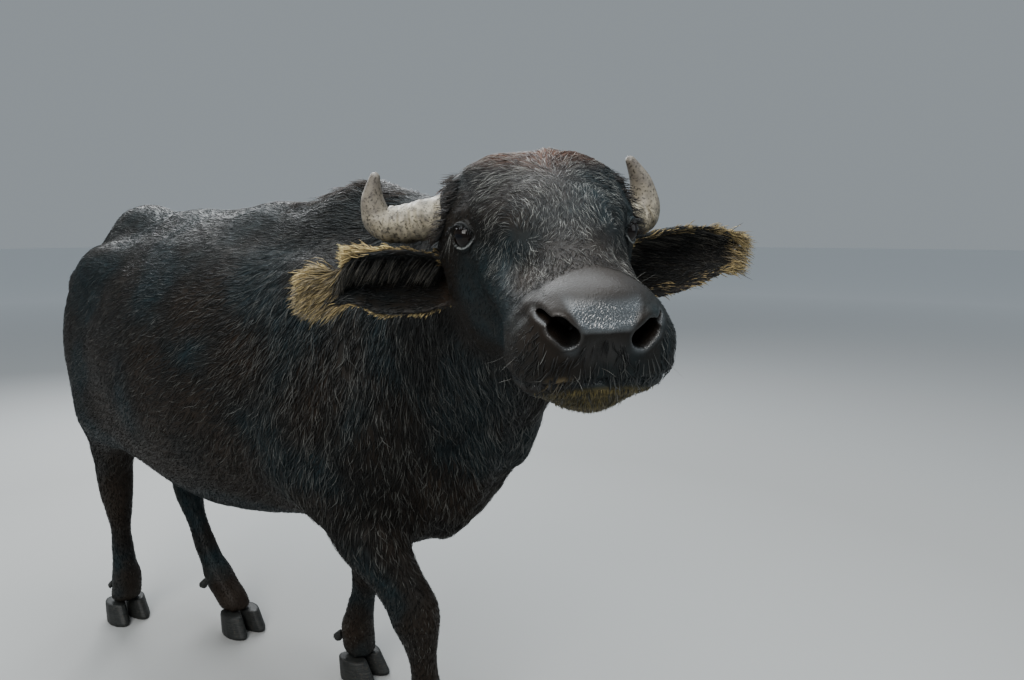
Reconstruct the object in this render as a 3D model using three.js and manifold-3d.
// A water buffalo, life size, in mid-step, with its head held out and turned to its right.
// Millimetres, +Z up. It faces -Y, its right side is -X, and its hooves stand on z = 0.
//
// The body is one smooth volume. Each muscle and bone is a named ball or tapered bar, and they
// flow into each other. A skin is a grid of points cast out on to that volume from a curve
// that runs inside it, so neighbouring parts cut from one curve share their outline.

import * as THREE from "three";
import { ParametricGeometry } from "three/addons/geometries/ParametricGeometry.js";
import { mergeVertices } from "three/addons/utils/BufferGeometryUtils.js";
import Module from "manifold-3d";

const wasm = await Module();
wasm.setup();

// Heights and breadths of the standing animal
const WITHERS_HEIGHT = 1345;
const BACK_HEIGHT = 1288;
const SACRUM_HEIGHT = 1312;
const BELLY_HEIGHT = 500;
const BARREL_HALF_WIDTH = 330;
const CHEST_HALF_WIDTH = 245;
const HIP_HALF_WIDTH = 262;

// Places along the body, from the nose end (-Y) to the tail (+Y)
const WITHERS_Y = -420;
const BACK_Y = 215;
const SACRUM_Y = 500;
const TAIL_ROOT_Y = 790;
const TAIL_ROOT_HEIGHT = 1157;

// The head: where the point between the eyes is, and how the head is turned
const HEAD_AT = new THREE.Vector3(-300, -1092, 1236);
const HEAD_TURN = -44.7;
const HEAD_DIP = 9.6;
const HEAD_TILT = -1.9;
const EYE_RADIUS = 20;
const EYE_SPREAD = 110;

// Clearances
const GAP = 0.3;

const degrees = THREE.MathUtils.degToRad;
const v = (x, y, z) => new THREE.Vector3(x, y, z);

// Seeded draws, so that every build gives the same locks
function draws(seed) {
  let state = seed;
  return (low, high) => {
    state = (state * 1664525 + 1013904223) % 4294967296;
    return low + (high - low) * (state / 4294967296);
  };
}

// The head's own frame: origin between the eyes, -Y to the nose, +Z to the poll
const headMatrix = new THREE.Matrix4().makeRotationFromEuler(
  new THREE.Euler(degrees(HEAD_DIP), degrees(HEAD_TILT), degrees(HEAD_TURN), "ZXY"),
);
headMatrix.setPosition(HEAD_AT);
const intoHead = headMatrix.clone().invert();
const fromHead = (x, y, z) => v(x, y, z).applyMatrix4(headMatrix);

// Volumes: a ball has its own radii, a bar runs between two joints and tapers between them
function ball(centre, radii, blend = 45) {
  return {
    blend,
    distance(p) {
      const x = (p.x - centre.x) / radii.x;
      const y = (p.y - centre.y) / radii.y;
      const z = (p.z - centre.z) / radii.z;
      const near = Math.hypot(x, y, z);
      const slope = Math.hypot(x / radii.x, y / radii.y, z / radii.z);
      if (slope < 1e-9) {
        return -Math.min(radii.x, radii.y, radii.z);
      }
      return (near * (near - 1)) / slope;
    },
  };
}

function bar(from, fromRadius, to, toRadius, blend = 35) {
  const along = to.clone().sub(from);
  const length2 = along.lengthSq();
  const offset = v(0, 0, 0);
  return {
    blend,
    distance(p) {
      offset.copy(p).sub(from);
      const t = THREE.MathUtils.clamp(offset.dot(along) / length2, 0, 1);
      offset.addScaledVector(along, -t);
      return offset.length() - THREE.MathUtils.lerp(fromRadius, toRadius, t);
    },
  };
}

// A chain of bars through joints given as [x, y, z, radius]
function chain(joints, blend) {
  const bars = [];
  for (let i = 0; i < joints.length - 1; i += 1) {
    const [ax, ay, az, ar] = joints[i];
    const [bx, by, bz, br] = joints[i + 1];
    bars.push(bar(v(ax, ay, az), ar, v(bx, by, bz), br, blend));
  }
  return bars;
}

// Both sides at once, for volumes that mirror across x = 0 of their own frame
function mirrored(volume) {
  const folded = v(0, 0, 0);
  return {
    blend: volume.blend,
    distance: (p) => volume.distance(folded.set(Math.abs(p.x), p.y, p.z)),
  };
}

function inHead(volume) {
  const local = v(0, 0, 0);
  return {
    blend: volume.blend,
    distance: (p) => volume.distance(local.copy(p).applyMatrix4(intoHead)),
  };
}

// One smooth volume from many: each flows into the rest over its own blend length
function blended(volumes) {
  return (p) => {
    let total = volumes[0].distance(p);
    for (let i = 1; i < volumes.length; i += 1) {
      const d = volumes[i].distance(p);
      const k = volumes[i].blend;
      const h = Math.max(k - Math.abs(total - d), 0) / k;
      total = Math.min(total, d) - (h * h * k) / 4;
    }
    return total;
  };
}

// Trunk
const trunk = [
  ball(v(0, 60, 905), v(BARREL_HALF_WIDTH, 640, 372), 60),
  ball(v(0, 20, 765), v(262, 470, 765 - BELLY_HEIGHT), 90),
  ball(v(0, -400, 880), v(CHEST_HALF_WIDTH, 330, 350), 90),
  ball(v(0, -560, 668), v(118, 165, 142), 80),
  bar(v(0, -620, WITHERS_HEIGHT - 130), 85, v(0, WITHERS_Y, WITHERS_HEIGHT - 82), 82, 70),
  bar(v(0, WITHERS_Y, WITHERS_HEIGHT - 82), 82, v(0, -100, BACK_HEIGHT - 68), 80, 70),
  bar(v(0, -100, BACK_HEIGHT - 68), 80, v(0, BACK_Y, BACK_HEIGHT - 86), 84, 70),
  bar(v(0, BACK_Y, BACK_HEIGHT - 86), 84, v(0, SACRUM_Y, SACRUM_HEIGHT - 82), 80, 70),
  bar(v(0, SACRUM_Y, SACRUM_HEIGHT - 82), 80, v(0, TAIL_ROOT_Y - 98, TAIL_ROOT_HEIGHT - 14), 50, 60),
  bar(v(0, SACRUM_Y + 60, SACRUM_HEIGHT - 96), 82, v(0, TAIL_ROOT_Y - 150, TAIL_ROOT_HEIGHT + 8), 60, 60),
  ball(v(0, 522, 1022), v(214, 236, 200), 60),
  mirrored(ball(v(HIP_HALF_WIDTH - 82, 408, 1146), v(76, 100, 62), 90)),
  mirrored(ball(v(94, 738, 1070), v(54, 62, 74), 60)),
];

// Each limb: joints [x, y, z, radius] from inside the body down to the pastern, the muscles that
// swell the body at its root, and the tendons that stand out along it. The right foreleg and
// the left hind leg lead, the other two trail. The leg's own node starts at ring number start.
const limbs = {
  foreleg_right: {
    side: -1,
    hoof: v(-70, -672, 0),
    turn: -10,
    start: 8,
    joints: [
      [-150, -480, 830, 66],
      [-166, -478, 690, 76],
      [-138, -556, 555, 64],
      [-106, -632, 425, 51],
      [-103, -640, 385, 47],
      [-94, -642, 330, 33],
      [-84, -645, 225, 31],
      [-77, -648, 150, 42],
      [-73, -662, 102, 40],
      [-71, -670, 66, 50],
    ],
    swell: [
      ball(v(-176, -460, 960), v(92, 170, 222), 90),
      ball(v(-176, -550, 830), v(82, 110, 130), 70),
      ball(v(-184, -410, 790), v(82, 130, 130), 70),
      bar(v(-166, -462, 690), 86, v(-146, -530, 590), 66, 60),
    ],
    tendons: [bar(v(-164, -440, 690), 52, v(-144, -510, 580), 44, 40)],
  },
  foreleg_left: {
    side: 1,
    hoof: v(117, -224, 0),
    turn: 4,
    start: 8,
    joints: [
      [150, -410, 830, 66],
      [156, -400, 690, 76],
      [118, -350, 545, 66],
      [88, -306, 410, 52],
      [87, -299, 372, 49],
      [92, -280, 320, 36],
      [104, -240, 215, 35],
      [112, -214, 142, 45],
      [116, -214, 100, 40],
      [117, -222, 66, 50],
    ],
    swell: [
      ball(v(176, -415, 960), v(92, 170, 222), 90),
      ball(v(176, -510, 830), v(82, 110, 130), 70),
      ball(v(184, -360, 790), v(82, 130, 130), 70),
      bar(v(158, -395, 690), 86, v(134, -362, 590), 66, 60),
    ],
    tendons: [bar(v(160, -372, 690), 52, v(130, -335, 570), 44, 40)],
  },
  hindleg_right: {
    side: -1,
    hoof: v(-97, 636, 0),
    turn: -6,
    start: 8,
    joints: [
      [-160, 520, 890, 80],
      [-168, 478, 735, 88],
      [-150, 528, 605, 62],
      [-132, 570, 500, 46],
      [-128, 576, 448, 45],
      [-122, 584, 385, 35],
      [-114, 596, 245, 31],
      [-104, 604, 152, 42],
      [-99, 620, 102, 40],
      [-97, 634, 66, 50],
    ],
    swell: [
      ball(v(-152, 488, 905), v(118, 150, 230), 60),
      ball(v(-172, 430, 760), v(84, 120, 130), 60),
      ball(v(-122, 548, 856), v(80, 84, 144), 50),
      bar(v(-168, 470, 735), 92, v(-152, 522, 630), 72, 60),
      bar(v(-190, 380, 730), 56, v(-200, 240, 700), 44, 80),
    ],
    tendons: [
      bar(v(-146, 574, 720), 46, v(-134, 612, 520), 25, 40),
      bar(v(-134, 612, 520), 25, v(-128, 606, 430), 25, 24),
    ],
  },
  hindleg_left: {
    side: 1,
    hoof: v(68, 262, 0),
    turn: -4,
    start: 8,
    joints: [
      [160, 520, 890, 80],
      [168, 440, 730, 88],
      [120, 490, 590, 62],
      [80, 526, 480, 48],
      [73, 522, 428, 46],
      [69, 503, 370, 36],
      [66, 434, 245, 33],
      [65, 366, 152, 43],
      [67, 310, 100, 41],
      [68, 274, 66, 50],
    ],
    swell: [
      ball(v(152, 488, 905), v(118, 150, 230), 60),
      ball(v(172, 400, 755), v(84, 120, 130), 60),
      ball(v(122, 548, 856), v(80, 84, 144), 50),
      bar(v(166, 444, 735), 92, v(138, 476, 620), 72, 60),
      bar(v(190, 340, 730), 56, v(200, 200, 700), 44, 80),
    ],
    tendons: [
      bar(v(138, 574, 700), 46, v(86, 572, 500), 25, 40),
      bar(v(86, 572, 500), 25, v(76, 551, 412), 25, 24),
    ],
  },
};

// Neck, from the chest to the back of the head: its nape, its crest and its loose throat
const nape = [
  ball(v(-168, -925, 1135), v(124, 140, 176), 80),
  bar(v(-100, -800, 1222), 72, v(-200, -960, 1258), 68, 60),
];
const neck = [
  ...nape,
  ball(v(-14, -640, 1000), v(172, 190, 272), 80),
  ball(v(-88, -790, 1078), v(142, 165, 222), 80),
  bar(v(0, -600, WITHERS_HEIGHT - 140), 80, v(-100, -800, 1222), 72, 60),
  bar(v(-8, -715, 690), 58, v(-78, -868, 842), 46, 70),
  bar(v(-78, -868, 842), 46, v(-172, -985, 985), 44, 70),
];

// Head, in its own frame: brain case, forehead, bridge of the nose, brows, cheeks, jaws, muzzle
const skull = [
  ball(v(0, 74, 14), v(158, 98, 98), 40),
  ball(v(0, 0, 6), v(112, 112, 76), 50),
  bar(v(0, -50, 12), 66, v(0, -240, -52), 44, 50),
  mirrored(ball(v(88, 4, 16), v(30, 46, 34), 30)),
  mirrored(ball(v(96, 60, -62), v(48, 70, 62), 50)),
  mirrored(ball(v(66, 66, -112), v(44, 76, 74), 50)),
  mirrored(bar(v(58, -50, -46), 46, v(52, -190, -82), 44, 40)),
  mirrored(bar(v(46, 60, -150), 34, v(34, -160, -150), 30, 40)),
  ball(v(0, -236, -72), v(96, 64, 56), 40),
  mirrored(ball(v(52, -252, -92), v(50, 52, 40), 30)),
  mirrored(ball(v(64, -236, -126), v(32, 46, 28), 20)),
  ball(v(0, -258, -44), v(66, 46, 32), 26),
  ball(v(0, -226, -142), v(62, 56, 42), 26),
  bar(v(0, -110, -128), 48, v(0, 40, -122), 66, 40),
  bar(v(0, 40, -122), 66, v(0, 170, -120), 84, 50),
].map(inHead);

// The curve inside the body that the skins are cast from, from the rump to the muzzle
const spine = new THREE.CatmullRomCurve3(
  [
    v(0, 620, 1010),
    v(0, 430, 980),
    v(0, 150, 915),
    v(0, -180, 900),
    v(0, -420, 925),
    v(-8, -590, 985),
    v(-54, -735, 1060),
    v(-130, -875, 1125),
    fromHead(0, 92, -28),
    fromHead(0, -10, -38),
    fromHead(0, -120, -62),
    fromHead(0, -232, -86),
  ],
  false,
  "centripetal",
);

// A ray starts inside and steps outwards, then closes in on the surface
const STRIDE = 6;
const HALVINGS = 14;
function reach(field, origin, direction) {
  const at = (distance) => origin.clone().addScaledVector(direction, distance);
  let outside = STRIDE;
  while (field(at(outside)) < 0) {
    outside += STRIDE;
  }
  let inside = outside - STRIDE;
  for (let i = 0; i < HALVINGS; i += 1) {
    const middle = (inside + outside) / 2;
    if (field(at(middle)) < 0) {
      inside = middle;
    } else {
      outside = middle;
    }
  }
  return at(inside);
}

// A ring of points all round one place, square to the way ahead, or leaned towards it
function ringAt(field, origin, ahead, level, sectors, lean = 0) {
  const across = v(0, 0, 0).crossVectors(ahead, level).normalize();
  const upward = v(0, 0, 0).crossVectors(across, ahead).normalize();
  const row = [];
  for (let i = 0; i < sectors; i += 1) {
    const angle = (2 * Math.PI * i) / sectors;
    const out = across.clone().multiplyScalar(Math.sin(angle));
    out.addScaledVector(upward, Math.cos(angle));
    out.multiplyScalar(Math.cos(lean)).addScaledVector(ahead, Math.sin(lean));
    row.push(reach(field, origin, out));
  }
  return row;
}

// A skin is cast from a curve: { field, curve, level, sectors }
function ring(skin, t, lean = 0) {
  const { field, curve, level, sectors } = skin;
  return ringAt(field, curve.getPointAt(t), curve.getTangentAt(t), level, sectors, lean);
}

function rings(skin, from, to, count) {
  const rows = [];
  for (let i = 0; i <= count; i += 1) {
    rows.push(ring(skin, THREE.MathUtils.lerp(from, to, i / count)));
  }
  return rows;
}

// Rows from the pole of a rounded end to its first full ring
function roundedEnd(skin, t, rows, direction) {
  const end = [];
  for (let i = 0; i < rows; i += 1) {
    end.push(ring(skin, t, direction * (Math.PI / 2) * (1 - i / rows)));
  }
  return end;
}

const middleOf = (row) =>
  row.reduce((sum, p) => sum.add(p), v(0, 0, 0)).multiplyScalar(1 / row.length);
const flatStart = (rows) => [rows[0].map(() => middleOf(rows[0])), ...rows];
const flatEnd = (rows) => [...rows, rows.at(-1).map(() => middleOf(rows.at(-1)))];
const shifted = (row, offset) => row.map((p) => p.clone().add(offset));

// Which way the surface faces at a point
function slope(field, p) {
  const h = 1;
  const along = (dx, dy, dz) =>
    field(v(p.x + dx, p.y + dy, p.z + dz)) - field(v(p.x - dx, p.y - dy, p.z - dz));
  return v(along(h, 0, 0), along(0, h, 0), along(0, 0, h)).normalize();
}

// The same skin a little larger, to cut a neighbour clear of it
const puffed = (skin, rows, by) =>
  rows.map((row) => row.map((p) => p.clone().addScaledVector(slope(skin.field, p), by)));
function swollen(rows, by) {
  return rows.map((row) => {
    const centre = middleOf(row);
    return row.map((p) => p.clone().addScaledVector(p.clone().sub(centre).normalize(), by));
  });
}

// A closed grid of points, whose first and last rows are each one point
function gridGeometry(rows) {
  const count = rows[0].length;
  const at = (u, w, target) => {
    const row = rows[Math.round(w * (rows.length - 1))];
    target.copy(row[Math.round(u * count) % count]);
  };
  return new ParametricGeometry(at, count, rows.length - 1);
}

// A solid from a closed geometry, with shared points merged and empty faces dropped
const MERGE = 0.002;
function solid(geometry) {
  const bare = geometry.clone();
  bare.deleteAttribute("normal");
  bare.deleteAttribute("uv");
  const merged = mergeVertices(bare, MERGE);
  const index = merged.index.array;
  const faces = [];
  const turned = [];
  for (let i = 0; i < index.length; i += 3) {
    const [a, b, c] = [index[i], index[i + 1], index[i + 2]];
    if (a !== b && b !== c && c !== a) {
      faces.push(a, b, c);
      turned.push(a, c, b);
    }
  }
  const closed = (triangles) =>
    new wasm.Manifold(
      new wasm.Mesh({
        numProp: 3,
        vertProperties: new Float32Array(merged.attributes.position.array),
        triVerts: new Uint32Array(triangles),
      }),
    );
  const made = closed(faces);
  return made.volume() > 0 ? made : closed(turned);
}

const fromRows = (rows) => solid(gridGeometry(rows));
const joined = (bodies) => bodies.reduce((whole, body) => whole.add(body));
const cut = (body, tools) => tools.reduce((rest, tool) => rest.subtract(tool), body);

// Only the largest closed surface of a cut or joined solid is kept
function largest(body) {
  const pieces = body.decompose();
  return pieces.reduce((best, piece) => (piece.volume() > best.volume() ? piece : best));
}

const buffalo = new THREE.Group();
function add(name, body, finish) {
  const mesh = largest(body).getMesh();
  const geometry = new THREE.BufferGeometry();
  const points = new THREE.BufferAttribute(new Float32Array(mesh.vertProperties), 3);
  geometry.setAttribute("position", points);
  geometry.setIndex(new THREE.BufferAttribute(new Uint32Array(mesh.triVerts), 1));
  geometry.computeVertexNormals();
  const part = new THREE.Mesh(geometry, finish);
  part.name = name;
  buffalo.add(part);
}

const hide = new THREE.MeshStandardMaterial({ color: 0x1c1a18, roughness: 0.7, metalness: 0 });
const earHide = new THREE.MeshStandardMaterial({ color: 0x3a2f22, roughness: 0.8, metalness: 0 });
const hornMatter = new THREE.MeshStandardMaterial({ color: 0x8d8678, roughness: 0.5, metalness: 0 });
const clawMatter = new THREE.MeshStandardMaterial({ color: 0x3b4048, roughness: 0.5, metalness: 0 });
const wetEye = new THREE.MeshStandardMaterial({ color: 0x0b0909, roughness: 0.05, metalness: 0 });

// Locks of long hair: flat, tapered, rooted in the skin and combed along it
const LOCK_STATIONS = 4;
const LOCK_ROOT = 7;

// One lock: its middle line as points, and the flat side it shows at each of them
function lockAlong(line, facings, width, thickness) {
  const rows = [];
  for (let i = 0; i < line.length; i += 1) {
    const t = i / (line.length - 1);
    const ahead = line[Math.min(i + 1, line.length - 1)].clone().sub(line[Math.max(i - 1, 0)]);
    const across = v(0, 0, 0).crossVectors(ahead, facings[i]).normalize();
    const outward = v(0, 0, 0).crossVectors(across, ahead).normalize();
    const half = (width / 2) * Math.sqrt(1 - t) * (0.75 + 0.5 * t);
    const thick = (thickness / 2) * (1 - t) ** 0.7;
    rows.push([
      line[i].clone().addScaledVector(across, half),
      line[i].clone().addScaledVector(outward, thick),
      line[i].clone().addScaledVector(across, -half),
      line[i].clone().addScaledVector(outward, -thick),
    ]);
  }
  rows[rows.length - 1] = rows.at(-1).map(() => line.at(-1).clone());
  return fromRows(flatStart(rows));
}

// A lock that starts under the skin and follows it, rising to its own lift at the tip
function combedLock(field, root, lie, size) {
  const line = [];
  const facings = [];
  let p = root.clone();
  for (let i = 0; i <= LOCK_STATIONS; i += 1) {
    const t = i / LOCK_STATIONS;
    const outward = slope(field, p);
    const height = THREE.MathUtils.lerp(-LOCK_ROOT, size.lift, Math.sqrt(t));
    p.addScaledVector(outward, height - field(p));
    line.push(p.clone());
    facings.push(outward);
    const step = lie.clone().addScaledVector(outward, -lie.dot(outward)).normalize();
    p.addScaledVector(step, size.length / LOCK_STATIONS);
  }
  return lockAlong(line, facings, size.width, size.thickness);
}

// Torso, neck and head are lengths of one skin, each closed flat where the next one starts
const NECK_START = 0.625;
const NECK_END = 0.835;
const TORSO_RINGS = 22;
const NECK_RINGS = 8;
const HEAD_RINGS = 18;
const RUMP_ROWS = 6;
const MUZZLE_ROWS = 7;
const CLEARANCE = 0.8;
const swells = Object.values(limbs).flatMap((limb) => limb.swell);
const upright = v(0, 0, 1);
const torsoSkin = {
  field: blended([...trunk, ...swells, ...neck]),
  curve: spine,
  level: upright,
  sectors: 32,
};
const neckSkin = { ...torsoSkin, field: blended([...trunk, ...swells, ...neck, ...skull]) };
const headSkin = { ...torsoSkin, field: blended([...skull, ...nape]), sectors: 34 };

const torsoRows = [
  ...roundedEnd(torsoSkin, 0, RUMP_ROWS, -1),
  ...rings(torsoSkin, 0, NECK_START, TORSO_RINGS),
];
const neckRows = rings(neckSkin, NECK_START, NECK_END, NECK_RINGS);
const neckStep = spine.getTangentAt(NECK_START).multiplyScalar(GAP);
const headStep = spine.getTangentAt(NECK_END).multiplyScalar(GAP);
neckRows[0] = shifted(neckRows[0], neckStep);
const headRows = [
  ...rings(headSkin, NECK_END, 1, HEAD_RINGS),
  ...roundedEnd(headSkin, 1, MUZZLE_ROWS, 1).reverse(),
];
headRows[0] = shifted(headRows[0], headStep);
const headBody = fromRows(flatStart(headRows));
const headClear = fromRows(flatStart(puffed(headSkin, headRows, CLEARANCE)));
const torsoClear = fromRows(flatEnd(puffed(torsoSkin, torsoRows, CLEARANCE)));
const neckAround = puffed(neckSkin, neckRows, CLEARANCE);
neckAround.unshift(shifted(neckAround[0], neckStep.clone().multiplyScalar(-8)));
neckAround.push(shifted(neckAround.at(-1), headStep.clone().multiplyScalar(20)));
const neckClear = fromRows(flatEnd(flatStart(neckAround)));
const crownClear = neckClear.add(headClear);
add("neck", fromRows(flatEnd(flatStart(neckRows))), hide);

// Legs: the top of each limb is part of the torso, the leg starts below elbow or stifle
const LIMB_RINGS = 24;
const LIMB_END = 0.965;
const forwards = v(0, -1, 0);
const upperLimbs = [];

// A claw: rings rise from the flat sole to the hair line and lean back from the toe
const CLAW_LENGTH = 122;
const CLAW_WIDTH = 56;
const CLAW_HEIGHT = 62;
const CLAW_SPREAD = 31;
const CLAW_SECTORS = 14;
const CLAW_RINGS = [
  { height: 0, length: 0.96, width: 0.96 },
  { height: 0.12, length: 1, width: 1 },
  { height: 0.55, length: 0.88, width: 0.95 },
  { height: 1, length: 0.76, width: 0.88 },
];
function claw(hoof, turn, sign) {
  const place = new THREE.Matrix4().makeRotationZ(degrees(turn + sign * 4));
  place.setPosition(hoof);
  const rows = CLAW_RINGS.map(({ height, length, width }) => {
    const row = [];
    for (let i = 0; i < CLAW_SECTORS; i += 1) {
      const angle = (2 * Math.PI * i) / CLAW_SECTORS;
      const toe = Math.max(-Math.cos(angle), 0) ** 2;
      const lean = (1 - length) * CLAW_LENGTH * 0.62;
      const x = Math.sin(angle) * CLAW_WIDTH * 0.5 * width * (1 - 0.2 * toe);
      const y = Math.cos(angle) * CLAW_LENGTH * 0.5 * length + lean;
      row.push(v(sign * (CLAW_SPREAD - 5 * toe) + x, y - 12, height * CLAW_HEIGHT));
    }
    return row.map((p) => p.applyMatrix4(place));
  });
  return fromRows(flatEnd(flatStart(rows)));
}

// Each fetlock has a pair of small dewclaws behind it
const DEWCLAW_LENGTH = 40;
const DEWCLAW_RADIUS = 14;
function dewclaw(fetlock, radius, sign) {
  const cone = new THREE.CylinderGeometry(5, DEWCLAW_RADIUS, DEWCLAW_LENGTH, 9, 1);
  cone.rotateX(degrees(128));
  cone.translate(fetlock.x + sign * 21, fetlock.y + radius + 2, fetlock.z - 26);
  return solid(cone);
}

for (const [name, limb] of Object.entries(limbs)) {
  const joints = limb.joints.map(([x, y, z]) => v(x, y, z));
  const limbSkin = {
    field: blended([...chain(limb.joints, 26), ...limb.tendons]),
    curve: new THREE.CatmullRomCurve3(joints, false, "centripetal"),
    level: forwards,
    sectors: 14,
  };
  const rows = rings(limbSkin, 0, LIMB_END, LIMB_RINGS);
  const pastern = v(limb.hoof.x, limb.hoof.y + 14, CLAW_HEIGHT + GAP);
  rows.push(ringAt(limbSkin.field, pastern, v(0, 0, -1), forwards, limbSkin.sectors));
  const start = limb.start;
  upperLimbs.push(fromRows(flatEnd(flatStart(rows.slice(0, start + 1)))));
  const lower = rows.slice(start);
  const ahead = limbSkin.curve.getTangentAt((LIMB_END * start) / LIMB_RINGS);
  lower[0] = shifted(lower[0], ahead.multiplyScalar(GAP));
  const leg = fromRows(flatEnd(flatStart(lower))).subtract(torsoClear);
  const legClear = fromRows(flatEnd(flatStart(swollen(lower, CLEARANCE))));
  add(name, leg, hide);
  for (const [place, sign] of [["outer", limb.side], ["inner", -limb.side]]) {
    add(`claw_${name}_${place}`, claw(limb.hoof, limb.turn, sign), clawMatter);
    const [x, y, z, radius] = limb.joints.at(-3);
    const small = dewclaw(v(x, y, z), radius, sign).subtract(legClear);
    add(`dewclaw_${name}_${place}`, small, clawMatter);
  }
}

// A short mane stands along the withers
const MANE_LOCKS = 16;
const MANE_FROM_Y = -560;
const MANE_TO_Y = -240;
const maneDraw = draws(7);
const mane = [];
for (let i = 0; i < MANE_LOCKS; i += 1) {
  const y = THREE.MathUtils.lerp(MANE_FROM_Y, MANE_TO_Y, i / (MANE_LOCKS - 1)) + maneDraw(-8, 8);
  const lean = maneDraw(-0.22, 0.22);
  const top = reach(torsoSkin.field, v(0, y, 1000), v(Math.sin(lean), 0, Math.cos(lean)));
  const lie = v(Math.sign(lean) * maneDraw(0.3, 0.9), maneDraw(0.8, 1.2), 0);
  const size = { length: maneDraw(60, 85), width: maneDraw(26, 36), thickness: 7, lift: 10 };
  mane.push(combedLock(torsoSkin.field, top, lie, size));
}
const torsoBody = fromRows(flatEnd(torsoRows));
add("torso", joined([torsoBody, ...upperLimbs, joined(mane).subtract(neckClear)]), hide);

// Pieces of the head are shaped about their own origin, looking along +Z with +Y upwards
const onHead = (geometry, place) => geometry.clone().applyMatrix4(place).applyMatrix4(headMatrix);
function lookingAlong(x, y, z, position, roll = 0) {
  const place = new THREE.Matrix4().lookAt(v(x, y, z), v(0, 0, 0), upright);
  place.multiply(new THREE.Matrix4().makeRotationZ(degrees(roll)));
  return place.setPosition(position);
}

// Eyes, the lids round them and the almond that they open to
const LID_RADIUS = EYE_RADIUS + 6.5;
const ALMOND = { width: 42, upper: 15.5, lower: 13.5, floor: 12 };
function eyeParts(sign) {
  const place = lookingAlong(sign * 0.74, -0.67, 0.06, v(sign * EYE_SPREAD, -2, 0), sign * -8);
  const round = (radius) => solid(onHead(new THREE.SphereGeometry(radius, 14, 10), place));
  const shape = new THREE.Shape();
  shape.moveTo(-ALMOND.width / 2, 0);
  shape.quadraticCurveTo(0, ALMOND.upper * 2, ALMOND.width / 2, 0);
  shape.quadraticCurveTo(0, -ALMOND.lower * 2, -ALMOND.width / 2, 0);
  const options = { depth: 60, bevelEnabled: false, curveSegments: 5 };
  const almond = new THREE.ExtrudeGeometry(shape, options).translate(0, 0, ALMOND.floor);
  const opening = solid(onHead(almond, place));
  return { eye: round(EYE_RADIUS), lid: round(LID_RADIUS), socket: round(EYE_RADIUS + GAP), opening };
}

// Nostrils: a deep oval hole that leans outwards, with a narrow slit at its upper end
const NOSTRIL = { width: 29, height: 48, depth: 76, lean: 38 };
const NOSTRIL_SLIT = { width: 13, height: 36, depth: 46, lean: 58 };
function nostril(sign) {
  const dent = ({ width, height, depth }, place) => {
    const oval = new THREE.SphereGeometry(0.5, 12, 8).scale(width, height, depth);
    return solid(onHead(oval, place));
  };
  const hole = lookingAlong(sign * 0.5, -0.86, 0.05, v(sign * 49, -298, -56), -sign * NOSTRIL.lean);
  const slit = lookingAlong(sign * 0.7, -0.65, 0.2, v(sign * 65, -285, -41), -sign * NOSTRIL_SLIT.lean);
  return dent(NOSTRIL, hole).add(dent(NOSTRIL_SLIT, slit));
}

// The line of the mouth: a thin band that runs round the muzzle between the lips
const MOUTH = { opening: 4, front: -130, drop: 5, corner: -150 };
function mouthLine() {
  const shape = new THREE.Shape();
  shape.absellipse(0, -225, 125, 110, Math.PI, 2 * Math.PI, false);
  shape.lineTo(125, MOUTH.corner);
  shape.lineTo(62, MOUTH.corner);
  shape.lineTo(62, -225);
  shape.absellipse(0, -225, 62, 58, 2 * Math.PI, Math.PI, true);
  shape.lineTo(-62, MOUTH.corner);
  shape.lineTo(-125, MOUTH.corner);
  shape.closePath();
  const options = { depth: MOUTH.opening, bevelEnabled: false, curveSegments: 12 };
  const tilt = new THREE.Matrix4().makeRotationX(degrees(MOUTH.drop));
  tilt.setPosition(0, 0, MOUTH.front + 26);
  return solid(onHead(new THREE.ExtrudeGeometry(shape, options), tilt));
}

const right = eyeParts(-1);
const left = eyeParts(1);
add("eye_right", right.eye, wetEye);
add("eye_left", left.eye, wetEye);

// Horns: short, thick at the root, out and back and then up to a blunt tip
const HORN_SECTORS = 12;
const HORN_RINGS = 14;
const hornShapes = {
  horn_right: [
    [-120, 86, 22, 31],
    [-168, 94, 10, 31],
    [-206, 104, 2, 29],
    [-238, 112, 6, 26],
    [-248, 112, 38, 18],
    [-242, 104, 80, 5],
  ],
  horn_left: [
    [112, 86, 22, 31],
    [148, 94, 6, 31],
    [174, 106, 0, 30],
    [190, 114, 14, 27],
    [183, 116, 56, 18],
    [158, 110, 98, 5],
  ],
};
function hornRows(joints) {
  const curve = new THREE.CatmullRomCurve3(joints.map(([x, y, z]) => v(x, y, z)));
  const rows = [];
  for (let i = 0; i <= HORN_RINGS; i += 1) {
    const t = i / HORN_RINGS;
    const at = t * (joints.length - 1);
    const from = Math.min(Math.floor(at), joints.length - 2);
    const ridge = i % 2 === 0 ? 1 : 0.955;
    const radius = THREE.MathUtils.lerp(joints[from][3], joints[from + 1][3], at - from) * ridge;
    const ahead = curve.getTangent(t);
    const across = v(0, 0, 0).crossVectors(ahead, forwards).normalize();
    const deep = v(0, 0, 0).crossVectors(across, ahead).normalize();
    const row = [];
    for (let k = 0; k < HORN_SECTORS; k += 1) {
      const angle = (2 * Math.PI * k) / HORN_SECTORS;
      const p = curve.getPoint(t).addScaledVector(across, radius * Math.sin(angle));
      row.push(p.addScaledVector(deep, 1.15 * radius * Math.cos(angle)).applyMatrix4(headMatrix));
    }
    rows.push(row);
  }
  return rows;
}
const hornsClear = [];
for (const [name, joints] of Object.entries(hornShapes)) {
  const rows = hornRows(joints);
  add(name, fromRows(flatEnd(flatStart(rows))).subtract(crownClear), hornMatter);
  hornsClear.push(fromRows(flatEnd(flatStart(swollen(rows, CLEARANCE)))));
}

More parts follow.
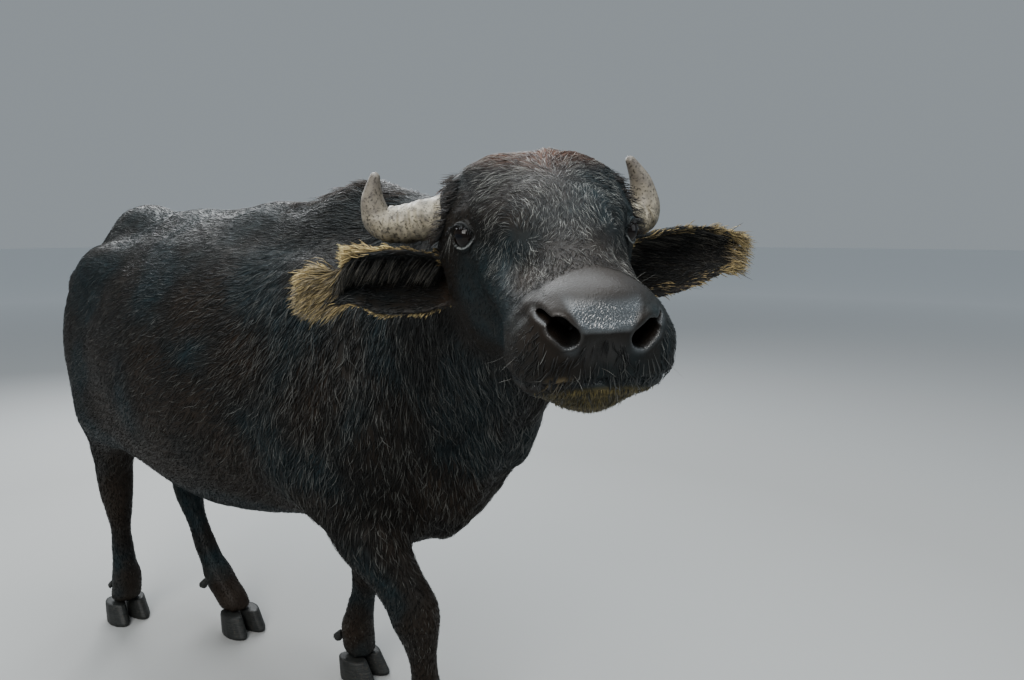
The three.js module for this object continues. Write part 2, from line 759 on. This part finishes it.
// Short red-brown hair covers the poll and falls back and to both sides
const pollDraw = draws(21);
const poll = [];
const POLL_LOCKS = 26;
for (let i = 0; i < POLL_LOCKS; i += 1) {
  const across = THREE.MathUtils.lerp(-1.02, 1.02, i / (POLL_LOCKS - 1)) + pollDraw(-0.04, 0.04);
  const row = (i % 3) - 1;
  const out = v(Math.sin(across), 0.32 * row + 0.25, Math.cos(across)).transformDirection(headMatrix);
  const root = reach(headSkin.field, fromHead(0, 62, 0), out);
  const lie = v(Math.sin(across) * 1.3 + pollDraw(-0.3, 0.3), 0.55 + 0.3 * row, -0.2);
  const size = { length: pollDraw(52, 74), width: pollDraw(24, 34), thickness: 6, lift: 9 };
  poll.push(combedLock(headSkin.field, root, lie.transformDirection(headMatrix), size));
}
const headTools = [right.socket, left.socket, right.opening, left.opening];
const headHoles = [nostril(-1), nostril(1), mouthLine()];
const pollHair = cut(joined(poll), [neckClear, ...hornsClear]);
const headWhole = joined([headBody, right.lid, left.lid, pollHair]);
add("head", cut(headWhole, [...headTools, ...headHoles]), hide);

// Ears: a cupped leaf, open to the front, with long fringes along both margins.
// Each station is [x, z] of its middle, its reach up, its reach down, and the depth of the cup.
const EAR_THICKNESS = 7;
const EAR_BACK = 92;
const EAR_ACROSS = 5;
const earShapes = {
  ear_right: [
    [-112, -72, 30, 34, 22],
    [-150, -80, 42, 48, 34],
    [-195, -80, 54, 56, 38],
    [-245, -82, 56, 53, 34],
    [-292, -80, 44, 36, 26],
    [-330, -91, 28, 29, 12],
    [-358, -98, 16, 20, 4],
    [-372, -103, 6, 8, 0],
  ],
  ear_left: [
    [104, -70, 30, 34, 22],
    [140, -76, 42, 48, 34],
    [190, -70, 50, 52, 38],
    [240, -64, 50, 51, 34],
    [288, -58, 41, 41, 26],
    [330, -56, 29, 29, 16],
    [358, -58, 16, 18, 8],
    [372, -62, 6, 7, 0],
  ],
};
// A place on an ear: t runs from root to tip, w from its lower margin (-1) to its upper (+1)
function earPlace(stations, t, w) {
  const at = THREE.MathUtils.clamp(t, 0, 1) * (stations.length - 1);
  const from = Math.min(Math.floor(at), stations.length - 2);
  const mix = (k) => THREE.MathUtils.lerp(stations[from][k], stations[from + 1][k], at - from);
  const y = EAR_BACK - mix(4) + mix(4) * 2 * (1 - w * w);
  return v(mix(0), y, mix(1) + (w > 0 ? mix(2) : mix(3)) * w);
}

function ear(stations) {
  const rows = stations.map((station, i) => {
    const t = i / (stations.length - 1);
    const front = [];
    const back = [];
    for (let k = 0; k < EAR_ACROSS; k += 1) {
      const w = -1 + (2 * k) / (EAR_ACROSS - 1);
      const half = (EAR_THICKNESS / 2) * (1 - 0.6 * t) * (1 - 0.6 * w * w);
      const place = earPlace(stations, t, w);
      front.push(fromHead(place.x, place.y - half, place.z));
      back.unshift(fromHead(place.x, place.y + half, place.z));
    }
    return [...front, ...back];
  });
  return fromRows(flatEnd(flatStart(rows)));
}

// The fringe: flat locks rooted inside the margins, swept out and towards the tip
const FRINGE_STATIONS = 3;
const FRINGE_FROM = 0.2;
const FRINGE_TO = 0.95;
const FRINGE_ROOT = 0.72;
const FRINGE_SWEEP = 1.5;
const FRINGE_FORWARD = 0.35;
const FRINGE_THICKNESS = 4.4;
function fringe(stations, seed, { upper, lower, long }) {
  const draw = draws(seed);
  const locks = [];
  for (let i = 0; i < upper + lower; i += 1) {
    const side = i < upper ? 1 : -1;
    const count = side > 0 ? upper : lower;
    const order = (side > 0 ? i : i - upper) / (count - 1);
    const t = THREE.MathUtils.lerp(FRINGE_FROM, FRINGE_TO, order) + draw(-0.012, 0.012);
    const root = earPlace(stations, t, side * FRINGE_ROOT);
    const rim = earPlace(stations, t, side);
    const tipward = earPlace(stations, t + 0.05, side);
    tipward.sub(earPlace(stations, t - 0.05, side)).normalize();
    const outward = rim.clone().sub(root);
    outward.y *= FRINGE_FORWARD;
    outward.normalize();
    const sweep = FRINGE_SWEEP + 0.8 * t;
    const way = outward.clone().addScaledVector(tipward, sweep).normalize();
    const reachOut = draw(0.8, 1.15) * THREE.MathUtils.lerp(long, long * 0.8, Math.abs(t - 0.6));
    const line = [root];
    for (let k = 1; k <= FRINGE_STATIONS; k += 1) {
      const u = k / FRINGE_STATIONS;
      const p = rim.clone().addScaledVector(way, reachOut * (u - 0.25));
      p.addScaledVector(tipward, reachOut * 0.3 * u * u);
      line.push(p);
    }
    const facing = v(0, -1, 0).transformDirection(headMatrix);
    const placed = line.map((p) => p.applyMatrix4(headMatrix));
    locks.push(lockAlong(placed, placed.map(() => facing), draw(24, 32), FRINGE_THICKNESS));
  }
  return locks;
}
const fringes = {
  ear_right: { seed: 31, upper: 9, lower: 7, long: 62 },
  ear_left: { seed: 35, upper: 8, lower: 7, long: 52 },
};
for (const [name, stations] of Object.entries(earShapes)) {
  const { seed, ...shape } = fringes[name];
  const whole = joined([ear(stations), ...fringe(stations, seed, shape)]);
  add(name, cut(whole, [crownClear, ...hornsClear]), earHide);
}

// Tail: it hangs clear behind the thighs and ends in a switch of long locks
const TAIL_SECTORS = 8;
const TAIL_PARTING = 0.64;
const CORE_RADIUS = 15;
const CORE_TIP = 5;
const tailPath = new THREE.CatmullRomCurve3([
  v(0, 690, 1144),
  v(0, 766, 1134),
  v(2, 820, 1080),
  v(5, 842, 985),
  v(9, 856, 800),
  v(12, 852, 630),
  v(14, 846, 480),
  v(15, 842, 420),
]);
function tailRows(from, to, count) {
  const rows = [];
  for (let i = 0; i <= count; i += 1) {
    const t = THREE.MathUtils.lerp(from, to, i / count);
    const dockRadius = THREE.MathUtils.lerp(34, CORE_RADIUS, Math.sqrt(Math.min(t / TAIL_PARTING, 1)));
    const hair = Math.max(t - TAIL_PARTING, 0) / (1 - TAIL_PARTING);
    const radius = THREE.MathUtils.lerp(dockRadius, CORE_TIP, hair);
    const centre = tailPath.getPointAt(t);
    const round = (p) => p.distanceTo(centre) - radius;
    rows.push(ringAt(round, centre, tailPath.getTangentAt(t), v(1, 0, 0), TAIL_SECTORS));
  }
  return rows;
}
const dock = tailRows(0, TAIL_PARTING, 12);
const core = tailRows(TAIL_PARTING, 1, 4);
core[0] = shifted(core[0], tailPath.getTangentAt(TAIL_PARTING).multiplyScalar(GAP));
add("tail", fromRows(flatEnd(flatStart(dock))).subtract(torsoClear), hide);

// The switch: locks start round the core, bow out and close in again at their tips
const SWITCH_LOCKS = 11;
const SWITCH_STATIONS = 3;
const SWITCH_TURN = 2.4;
const SWITCH_BOW = 24;
const SWITCH_THICKNESS = 13;
const switchDraw = draws(41);
const switchLocks = [];
for (let i = 0; i < SWITCH_LOCKS; i += 1) {
  const around = SWITCH_TURN * i + switchDraw(-0.2, 0.2);
  const out = v(Math.cos(around), Math.sin(around), 0);
  const from = THREE.MathUtils.lerp(TAIL_PARTING + 0.03, 0.88, i / (SWITCH_LOCKS - 1));
  const long = switchDraw(150, 185);
  const start = tailPath.getPointAt(from);
  const line = [];
  const facings = [];
  for (let k = 0; k <= SWITCH_STATIONS; k += 1) {
    const u = k / SWITCH_STATIONS;
    const aside = 6 + SWITCH_BOW * Math.sin(Math.PI * Math.min(u * 1.1, 1)) * (1 - 0.3 * u);
    line.push(start.clone().addScaledVector(out, aside).add(v(0, 0, -long * u)));
    facings.push(out);
  }
  switchLocks.push(lockAlong(line, facings, switchDraw(30, 38), SWITCH_THICKNESS));
}
const switchRoom = dock.at(-1)[0].z - GAP;
const trimmed = joined(switchLocks).trimByPlane([0, 0, -1], -switchRoom);
add("tail_switch", joined([fromRows(flatEnd(flatStart(core))), trimmed]), hide);

// The origin is at the middle of the whole, on the floor
const extent = new THREE.Box3().setFromObject(buffalo);
const middle = extent.getCenter(v(0, 0, 0));
buffalo.position.set(-middle.x, -middle.y, -extent.min.z);

export default buffalo;
